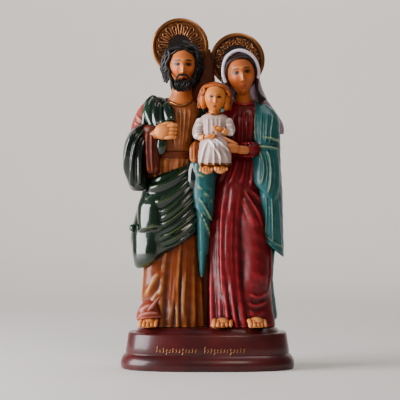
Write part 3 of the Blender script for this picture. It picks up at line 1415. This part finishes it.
def woman_head(head):
    neck = [
        (20.8, -0.5, 124, 6.8, 6.0),
        (20.6, -0.9, 128, 5.4, 5.4),
        (20.2, -1.2, 132, 4.5, 4.9),
        (20.0, -1.4, 137, 4.4, 4.8),
    ]
    band("woman_neck", WOMAN_FLESH, neck, around=56)
    face("woman_face", WOMAN_FLESH, *head, width=0.69)
    shell = ((0, 0.04, 0.04), (0.73, 0.92, 0.98))
    ball(
        "woman_hair_cap",
        DARK_HAIR,
        head_point(*head, (0.03, 0.22, 0.14)),
        (9.5, 9.6, 11.2),
        (0, -8, 0),
        fine=40,
    )
    for side in (-1, 1):
        tag = "left" if side < 0 else "right"
        for k in range(7):
            turn = math.radians(44 + 9 * k)
            path = [
                on_shell(shell, (side * 0.02, -math.cos(turn), math.sin(turn))),
                on_shell(shell, (side * 0.60, -0.56 + 0.10 * k, 0.60)),
                on_shell(shell, (side * 0.86, -0.42 + 0.09 * k, 0.22)),
                (side * (0.70 + 0.01 * k), -0.24 + 0.08 * k, -0.30),
                (side * 0.68, -0.12 + 0.07 * k, -0.8),
                (side * (0.70 + 0.05 * k), -0.06, -1.5 + 0.03 * k),
            ]
            lock(f"woman_strand_{tag}_{k}", DARK_HAIR, head, path, 1.0, wave=0.025, phase=k)


woman_head(WOMAN_HEAD)

# %% [markdown]
# The veil lies over the hair and spreads on the far shoulder. A draped sheet would have to be thickened
# before it could be fused, so it is a closed loft round the back of the head, with a soft roll laid
# along its edge where it frames the face.

# %% The veil


def woman_veil(head):
    veil = [
        (111, 33.8, 10.5, 10.0, 3.5),
        (113, 33.6, 10.5, 10.6, 4.2),
        (119, 31.6, 9.5, 11.4, 6),
        (127, 25, 8, 12.4, 7.6),
        (136, 20.4, 5.6, 11.4, 9.0),
        (146, 18.6, 3.2, 10.8, 10.0),
        (153, 17.9, 1.4, 9.4, 9.8),
        (157, 17.4, 0.4, 6.6, 8.2),
        (159.2, 17.3, 0.4, 2.6, 3.8),
    ]
    folds = fan(
        [(12, 150), (10, 138), (12, 124)], [(27, 150), (32, 134), (40, 114)], 6, 1.8, 1.2, (0.3, 0.05), BACK
    )
    cloth("woman_veil", VEIL, veil, folds, power=2.0)
    rim = []
    for k in range(13):
        turn = math.radians(200 - 220 * k / 12)
        rim.append((*head_point(*head, (0.84 * math.cos(turn), -0.34, 0.08 + 1.02 * math.sin(turn))), 0.95))
    roll("woman_veil_edge", VEIL, rim, around=12)


woman_veil(WOMAN_HEAD)

# %% [markdown]
# Her halo carries a band of scrolls between two fine rings. Between the two haloes the caster leaves a
# web of resin, which keeps the thin discs from breaking off. It is a narrow loft, painted umber.

# %% The woman's halo and the web
WOMAN_HALO = ((17.3, 5.6, 151.9), 15.75)


def woman_halo():
    halo("woman_halo", *WOMAN_HALO, (0.853, 0.79))
    filigree("woman_halo", *WOMAN_HALO, 13)
    web = [
        (120, -1.5, 3, 9, 5),
        (130, -2.5, 4, 9, 3.6),
        (138, -2.4, 4.4, 7, 2.8),
        (147, -0.8, 5.2, 4.6, 2.2),
        (154, 0.1, 5.8, 2.4, 1.8),
        (158, 0.7, 6, 1.2, 1.4),
    ]
    cloth("halo_web", UMBER, web, fineness=0.8)


woman_halo()

# %% [markdown]
# The child sits between the parents in a pearl-white gown with a gilded hem. The gown is one loft that
# swells over the lap and the knees, and the hem is a second, shorter loft of the same width, so that it
# follows every fold of the gown.

# %% The child's gown


def child_gown():
    gown = [
        (90.5, 4.0, -16.5, 8.6, 7.0),
        (92.5, 4.0, -16.6, 9.4, 7.8),
        (98, 4.0, -17, 9.2, 8.4),
        (104, 4.0, -16.8, 8.4, 8.0),
        (109, 3.6, -14.6, 7.0, 6.0),
        (115, 3.6, -13.4, 7.4, 5.4),
        (118.4, 3.7, -13, 8.4, 5.0),
        (120.8, 3.8, -13, 7.2, 4.4),
        (122.4, 3.9, -13, 4.2, 3.8),
    ]
    folds = fan([(1, 107), (-2, 100), (-3.5, 91)], [(6, 106), (9, 99), (11, 91)], 5, 1.4, 1.1, (0.25, 0.05))
    folds += fan([(0, 107), (4, 102), (8, 93)], [(3, 107), (8, 104), (12.5, 98)], 2, 1.1, 0.9, shape=CRISP)
    folds += fan([(0, 120), (1, 115), (0, 109)], [(7.5, 120), (6.5, 115), (7.5, 109)], 4, 1.0, 0.5)
    cloth("child_gown", GOWN, gown, folds, fineness=1.2)
    hem = [(90.3, 4.0, -16.5, 8.7, 7.1), (90.9, 4.0, -16.5, 9.2, 7.6), (91.6, 4.0, -16.6, 9.55, 7.95)]
    cloth("child_gilt_hem", GOLD, hem + [(92.1, 4.0, -16.6, 9.2, 7.6)], folds, fineness=1.0)


child_gown()

# %% [markdown]
# The arms are bent, and the hands meet at the chest. Sleeves and forearms are short strips along the
# bend, and the hands are the same recipe as the grown ones, at half the size.

# %% The child's arms


def child_arms():
    wrinkles = fan(
        [(-6.5, 116), (-4, 115), (-2, 116)], [(-7.5, 109), (-5, 108), (-3, 109)], 3, 0.9, 0.6, shape=CRISP
    )
    left = [(-2.6, -13.0, 119.4, 3.3, 3.2), (-5.4, -14.6, 112, 3.2, 3.2), (-4.6, -17.6, 107.6, 2.9, 2.9)]
    band("child_sleeve_left", GOWN, left, wrinkles, around=64, spacing=0.5)
    wrinkles = fan(
        [(14, 116), (12, 115), (10, 116)], [(15, 110), (12.5, 109), (11, 110)], 3, 0.9, 0.6, shape=CRISP
    )
    right = [(10.4, -13.0, 119.4, 3.3, 3.2), (12.6, -14.8, 113, 3.0, 3.2), (11.4, -17.8, 110.4, 2.6, 2.6)]
    band("child_sleeve_right", GOWN, right, wrinkles, around=64, spacing=0.5)
    band(
        "child_forearm_left",
        CHILD_FLESH,
        [(-4.6, -17.6, 107.8, 2.1, 2.1), (-1.2, -20.6, 107.6, 1.8, 1.8)],
        around=28,
    )
    band(
        "child_forearm_right",
        CHILD_FLESH,
        [(11.2, -17.8, 110.6, 2.0, 2.0), (8.0, -20.4, 112.6, 1.8, 1.8)],
        around=28,
    )
    hand("child_hand_left", CHILD_FLESH, (-1.8, -20.4, 107.4), (1, -0.28, 0.16), (-0.1, -1, 0.5), 7.6, 0.5)
    hand(
        "child_hand_right",
        CHILD_FLESH,
        (8.6, -20.2, 112.2),
        (-1, -0.28, 0.22),
        (0.1, -1, 0.5),
        7.2,
        0.5,
        -1,
    )


child_arms()

# %% [markdown]
# Bare feet show side by side below the hem. The shins behind them are plain, as they lie in its shade.

# %% The child's feet


def child_feet():
    foot("child_foot_left", CHILD_FLESH, (-0.8, -24.0, 88.6), -6, 7.6, 2.9)
    foot("child_foot_right", CHILD_FLESH, (7.6, -24.0, 88.9), 6, 7.6, 2.9)
    for tag, x in (("left", -0.8), ("right", 7.6)):
        band(f"child_shin_{tag}", UNDER, [(x, -18, 95, 3.6, 3.6), (x, -20, 90, 3.4, 3.0)], around=32)


child_feet()

# %% [markdown]
# The child's head is the same recipe with a wider face and softer cheeks. The curls are short rolls with
# a stronger wave, laid on a shell as the other hair is.

# %% The child's head


def child_head():
    band("child_neck", CHILD_FLESH, [(4, -13.6, 119, 3.8, 3.6), (4.1, -14, 126, 3.2, 3.2)], around=32)
    collar = [(-0.4, -14, 122.8, 0.5), (1.4, -16.8, 122.0, 0.55), (4.0, -17.6, 121.6, 0.55)]
    collar += [(6.6, -16.8, 122.0, 0.55), (8.4, -14, 122.8, 0.5)]
    roll("child_gilt_collar", GOLD, collar, around=8)
    head = ((4.2, -15.2, 131.0), 8.2, (0, 4, 0))
    face("child_face", CHILD_FLESH, *head, width=0.80, softness=1.6)
    shell = ((0, 0.06, 0.06), (0.98, 0.92, 0.98))
    ball("child_hair_cap", AUBURN_HAIR, head_point(*head, (0, 0.26, 0.16)), (8.2, 7.2, 7.2), fine=36)
    for side in (-1, 1):
        tag = "left" if side < 0 else "right"
        temple = head_point(*head, (side * 0.80, 0.18, -0.12))
        ball(f"child_hair_{tag}", AUBURN_HAIR, temple, (2.8, 5.0, 5.6), fine=24)
        for k in range(9):
            near, low = min(k, 3), -0.46 - 0.12 * ((2 * k) % 3)
            turn = math.radians(56 + 11 * k)
            path = [
                on_shell(shell, (side * 0.02, -math.cos(turn), math.sin(turn))),
                on_shell(shell, (side * 0.60, -0.42 + 0.13 * k, 0.68)),
                on_shell(shell, (side * 0.86, -0.42 + 0.13 * k, 0.30)),
                (side * (0.92 + 0.04 * near), -0.22 + 0.12 * k, -0.05),
                (side * (0.90 + 0.05 * near), -0.14 + 0.11 * k, low),
            ]
            name = f"child_curl_{tag}_{k}"
            lock(name, AUBURN_HAIR, head, path, 0.98, wave=0.08, turns=2.5, phase=1.7 * k)


child_head()

# %% [markdown]
# Now the forms become one casting. A single Boolean union with the whole collection keeps every form's
# paint on the part of it that is left showing. The fast Manifold solver is used because it also carries
# the head coordinates over, and it is safe here since every form is closed. A slab takes off what is
# below the ground, which leaves the flat underside of the real casting.

# %% Fuse the casting


def fuse(name):
    first = forms.objects["man_tunic"]
    forms.objects.unlink(first)
    bpy.context.scene.collection.objects.link(first)
    join = first.modifiers.new("join", "BOOLEAN")
    join.operation = "UNION"
    join.operand_type = "COLLECTION"
    join.collection = forms
    join.solver = "MANIFOLD"
    join.material_mode = "TRANSFER"
    slab_mesh = bpy.data.meshes.new("slab")
    shape = bmesh.new()
    slab_depth = 0.03
    centre = Matrix.Translation((0, 0, GROUND_Z - slab_depth / 2))
    bmesh.ops.create_cube(shape, size=1.0, matrix=centre @ Matrix.Diagonal((0.3, 0.2, slab_depth, 1.0)))
    shape.to_mesh(slab_mesh)
    shape.free()
    slab = bpy.data.objects.new("slab", slab_mesh)
    bpy.context.scene.collection.objects.link(slab)
    cut = first.modifiers.new("flat_underside", "BOOLEAN")
    cut.operation = "DIFFERENCE"
    cut.object = slab
    cut.solver = "MANIFOLD"
    graph = bpy.context.evaluated_depsgraph_get()
    mesh = bpy.data.meshes.new_from_object(first.evaluated_get(graph))
    mesh.name = name
    casting = bpy.data.objects.new(name, mesh)
    bpy.context.scene.collection.objects.link(casting)
    for used in [first, slab] + list(forms.objects):
        bpy.data.objects.remove(used)
    bpy.data.collections.remove(forms)
    return casting


casting = fuse("holy_family_casting")
triangles = sum(len(p.vertices) - 2 for p in casting.data.polygons)
print("casting:", triangles, "triangles,", len(casting.data.materials), "paints")

# %% [markdown]
# Relief. Each point is compared with a smoothed copy of the surface: a point above the copy is on a
# ridge, and a point below it is in a hollow. The difference is squeezed to the range 0 to 1, with 0.5
# for flat cloth, and stored for the paints.

# %% Measure the relief


def store_relief(obj, rounds=16, sharpness=0.5):
    mesh = obj.data
    count = len(mesh.vertices)
    points = np.zeros(count * 3)
    mesh.vertices.foreach_get("co", points)
    points = points.reshape(-1, 3) / PART
    edges = np.zeros(len(mesh.edges) * 2, int)
    mesh.edges.foreach_get("vertices", edges)
    edges = edges.reshape(-1, 2)
    normals = np.zeros(count * 3)
    mesh.vertex_normals.foreach_get("vector", normals)
    normals = normals.reshape(-1, 3)
    degree = np.maximum(np.bincount(edges.ravel(), minlength=count), 1)
    smooth = points.copy()
    for _ in range(rounds):
        total = np.stack(
            [
                np.bincount(edges[:, 0], smooth[edges[:, 1], axis], count)
                + np.bincount(edges[:, 1], smooth[edges[:, 0], axis], count)
                for axis in range(3)
            ],
            axis=1,
        )
        smooth = 0.4 * smooth + 0.6 * total / degree[:, None]
    rise = np.einsum("ij,ij->i", points - smooth, normals)
    relief = 0.5 + 0.5 * np.tanh(rise / sharpness)
    attribute = mesh.attributes.new("relief", "FLOAT", "POINT")
    attribute.data.foreach_set("value", relief.astype(np.float32))
    return relief


relief = store_relief(casting)
print("relief from", round(float(relief.min()), 2), "to", round(float(relief.max()), 2))

# %% [markdown]
# The union is denser than it needs to be on smooth cloth and on the back. A Decimate pass takes the mesh
# under its limit by merging points where the surface is nearly flat, so the folds and curls keep theirs.
# It comes after the relief is measured, because relief needs even spacing, and it carries relief along.

# %% Thin the casting
TRIANGLE_LIMIT = 190000


def thin(obj, limit):
    count = sum(len(p.vertices) - 2 for p in obj.data.polygons)
    if count <= limit:
        return
    thinner = obj.modifiers.new("thin", "DECIMATE")
    thinner.ratio = limit / count
    graph = bpy.context.evaluated_depsgraph_get()
    mesh = bpy.data.meshes.new_from_object(obj.evaluated_get(graph))
    obj.modifiers.remove(thinner)
    dense, obj.data = obj.data, mesh
    bpy.data.meshes.remove(dense)
    mesh.name = obj.name


thin(casting, TRIANGLE_LIMIT)
casting.data.set_sharp_from_angle(angle=math.radians(50))
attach(casting, "root")
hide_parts("family_group")
print("thinned to", sum(len(p.vertices) - 2 for p in casting.data.polygons), "triangles")

# %% [markdown]
# The plinth keeps the CAD profile with more points around, so its mouldings carry clean highlights.
# It is one loft of the same rounded oval, stepped in along the profile. A wavy edge on the ground
# softens the step where the figures stand.

# %% The plinth
PLINTH_POINTS = 220
CORNER_POWER = 2.7
PLINTH_HEIGHT = 0.0205
FOOT_HEIGHT = 0.0080
WALL_FOOT_INSET, WALL_FOOT_RISE = 0.0029, 0.0018
WALL_TOP_INSET, WALL_TOP_DROP = 0.0043, 0.0012
GROUND_MARGIN = 0.0085
GROUND_RINGS = 3


def plinth_outline(inset, angle):
    half_width = (plinth_high.x - plinth_low.x) / 2 - inset
    half_depth = (plinth_high.y - plinth_low.y) / 2 - inset
    c, s = math.cos(angle), math.sin(angle)
    x = half_width * math.copysign(abs(c) ** (2 / CORNER_POWER), c)
    y = half_depth * math.copysign(abs(s) ** (2 / CORNER_POWER), s)
    return x, y


def make_plinth():
    foot_top, top, ground = FOOT_HEIGHT, PLINTH_HEIGHT, plinth_high.z
    margin = GROUND_MARGIN
    profile = [(0.0012, 0.0), (0.0004, 0.08 * foot_top), (0.0, 0.35 * foot_top), (0.00015, 0.55 * foot_top)]
    profile += [
        (0.0008, 0.76 * foot_top),
        (0.0017, 0.92 * foot_top),
        (0.0023, foot_top),
        (0.0030, foot_top + 0.0006),
    ]
    profile += [
        (0.0031, foot_top + 0.0012),
        (WALL_FOOT_INSET, foot_top + WALL_FOOT_RISE),
        (0.0036, foot_top + 0.5 * (top - foot_top)),
    ]
    profile += [(WALL_TOP_INSET, top - WALL_TOP_DROP), (0.0046, top - 0.0004), (0.0052, top)]
    profile += [(margin, top + 0.0001)]
    profile += [(margin + 0.0012, top + 0.5 * (ground - top)), (margin + 0.0028, ground - 0.0003)]
    profile += [(margin + 0.0042, ground)]
    rings = []
    for step, (inset, z) in enumerate(profile):
        ring = []
        for k in range(PLINTH_POINTS):
            angle = 2 * math.pi * k / PLINTH_POINTS
            wavy = 0.0
            if step >= len(profile) - GROUND_RINGS:
                wavy = 0.0009 * noise(Vector((4 * math.cos(angle), 4 * math.sin(angle), 0.3)))
            x, y = plinth_outline(inset + wavy, angle)
            ring.append((x, y, z))
        rings.append(ring)
    grid = np.array(rings)
    mesh = bpy.data.meshes.new("lacquered_plinth")
    mesh.from_pydata(grid.reshape(-1, 3).tolist(), [], grid_faces(*grid.shape[:2]))
    mesh.materials.append(LACQUER)
    mesh.shade_smooth()
    mesh.set_sharp_from_angle(angle=math.radians(40))
    plinth = bpy.data.objects.new("lacquered_plinth", mesh)
    bpy.context.scene.collection.objects.link(plinth)
    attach(plinth, "root")
    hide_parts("plinth")
    return plinth


plinth = make_plinth()
print("plinth:", len(plinth.data.polygons), "faces")

# %% [markdown]
# Gilt strokes. The plinth's front carries a row of short leaning strokes in two groups, laid on in gold
# paint with a fine brush. They aren't letters, only an ornament. They could be painted by a material, but
# raised paint catches the light, so each is a thin roll sunk to half its thickness in the wall.

# %% Gilt strokes
STROKE_RADIUS = 0.00022
STROKE_SPACING = 0.0018
STROKE_GROUPS = ((-0.0285, 13), (-0.0018, 13))
STROKE_MIDDLE = 0.0118


def wall_inset(z):
    """How far the plinth's wall stands in from its foot at a height."""
    low, high = FOOT_HEIGHT + WALL_FOOT_RISE, PLINTH_HEIGHT - WALL_TOP_DROP
    return WALL_FOOT_INSET + (WALL_TOP_INSET - WALL_FOOT_INSET) * (z - low) / (high - low)


def wall_point(x, z):
    inset = wall_inset(z)
    half_width = (plinth_high.x - plinth_low.x) / 2 - inset
    half_depth = (plinth_high.y - plinth_low.y) / 2 - inset
    y = -half_depth * (1 - (abs(x) / half_width) ** CORNER_POWER) ** (1 / CORNER_POWER)
    return x, y, z


def make_strokes():
    points, faces = [], []
    for left, count in STROKE_GROUPS:
        for k in range(count):
            tall = 0.0034 if k == 0 else 0.0013 + 0.0011 * abs(math.sin(2.1 * k + 0.6))
            drop = 0.0012 if k % 5 == 3 else 0.0
            start = left + k * STROKE_SPACING
            rows = []
            for share in (0.0, 0.35, 0.7, 1.0):
                x = start + 0.0009 * share + 0.00035 * math.sin(2 * math.pi * share)
                z = STROKE_MIDDLE - 0.0012 - drop + (tall + drop) * share
                radius = STROKE_RADIUS * (0.6 + 0.8 * math.sin(math.pi * (0.15 + 0.7 * share)))
                rows.append([*wall_point(x, z), radius])
            grid = roll_grid([[1000 * v for v in row] for row in rows], 8) / 1000
            base = len(points)
            points += grid.reshape(-1, 3).tolist()
            faces += [[base + v for v in face] for face in grid_faces(*grid.shape[:2])]
    mesh = bpy.data.meshes.new("gilt_strokes")
    mesh.from_pydata(points, [], faces)
    shape = bmesh.new()
    shape.from_mesh(mesh)
    bmesh.ops.recalc_face_normals(shape, faces=shape.faces)
    shape.to_mesh(mesh)
    shape.free()
    attribute = mesh.attributes.new("relief", "FLOAT", "POINT")
    attribute.data.foreach_set("value", [0.8] * len(points))
    mesh.materials.append(GOLD)
    mesh.shade_smooth()
    strokes = bpy.data.objects.new("gilt_strokes", mesh)
    bpy.context.scene.collection.objects.link(strokes)
    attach(strokes, "root")
    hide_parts("plinth")
    return strokes


strokes = make_strokes()
print("gilt strokes:", len(strokes.data.polygons), "faces")

# %% [markdown]
# The stage is a pale floor that bends up into a pale wall, as a photographer's paper sweep does. A flat
# floor alone would leave a dark horizon behind the statue. The wall stands well off, so that there is
# room to walk round and look at the back.

# %% The stage


def make_stage():
    width, front, depth, height, bend = 4.4, -1.9, 1.6, 1.9, 0.35
    profile = [(front, 0.0), (depth - bend, 0.0)]
    for turn in np.linspace(0.2, 1.57, 9):
        profile.append((depth - bend + bend * math.sin(turn), bend - bend * math.cos(turn)))
    profile.append((depth, height))
    points = [(side * width / 2, y, z) for y, z in profile for side in (-1, 1)]
    faces = [(2 * k, 2 * k + 1, 2 * k + 3, 2 * k + 2) for k in range(len(profile) - 1)]
    mesh = bpy.data.meshes.new("pale_floor")
    mesh.from_pydata(points, [], faces)
    mesh.shade_smooth()
    floor = bpy.data.objects.new("pale_floor", mesh)
    bpy.context.scene.collection.objects.link(floor)
    material, tree, shader = start_material("pale_matt_paper")
    shader.inputs["Base Color"].default_value = linear("#d8d4d0")
    shader.inputs["Roughness"].default_value = 0.7
    mesh.materials.append(material)
    return floor


print("stage:", len(make_stage().data.polygons), "faces")

# %% [markdown]
# The light. Lacquer is seen by what it mirrors, so the main lamp is as large as a window and stands on
# the left, where it draws long glints. A weak fill and a weak top light open the shadows, a strip lights
# the wall, and the dim world keeps the dark paints from going flat black.

# %% The light


def add_light(name, place, target, size, watts, colour="#ffffff"):
    data = bpy.data.lights.new(name, "AREA")
    data.shape = "RECTANGLE"
    data.size, data.size_y = size
    data.energy = watts
    data.color = linear(colour)[:3]
    light = bpy.data.objects.new(name, data)
    light.location = place
    light.rotation_euler = (Vector(target) - Vector(place)).to_track_quat("-Z", "Y").to_euler()
    bpy.context.scene.collection.objects.link(light)


MIDDLE = (0.0, 0.0, 0.10)
add_light("window_left", (-0.70, -0.20, 0.24), MIDDLE, (0.58, 0.60), 19.0, "#fdfbff")
add_light("front_soft", (0.30, -1.1, 0.95), MIDDLE, (0.4, 0.4), 5.0, "#ffeedd")
add_light("top_soft", (0.2, 0.1, 0.9), MIDDLE, (0.5, 0.5), 2.5)
add_light("wall_wash", (0.1, 0.95, 0.95), (0.1, 1.6, 0.30), (2.2, 0.2), 14.0, "#fffaf6")
world = bpy.data.worlds.new("studio")
bpy.context.scene.world = world
world.use_nodes = True
world.node_tree.nodes["Background"].inputs["Color"].default_value = linear("#e9e7e6")
world.node_tree.nodes["Background"].inputs["Strength"].default_value = 0.18
print("lamps:", len(bpy.data.lights))

# %% [markdown]
# The camera stands a metre off, level with the middle of the statue and looking straight ahead, so the
# plinth's edges stay flat and the uprights stay upright. A long lens keeps the proportions calm.

# %% The camera
VIEW_ANGLE = 13.03
SENSOR_WIDTH = 36.0
camera_data = bpy.data.cameras.new("camera")
camera_data.sensor_width = SENSOR_WIDTH
camera_data.lens = SENSOR_WIDTH / 2 / math.tan(math.radians(VIEW_ANGLE / 2))
camera = bpy.data.objects.new("camera", camera_data)
camera.location = (-0.00425, -1.0, 0.0955)
camera.rotation_euler = (math.radians(90), 0, 0)
bpy.context.scene.collection.objects.link(camera)
bpy.context.scene.camera = camera
print("lens, mm:", round(camera_data.lens, 1))
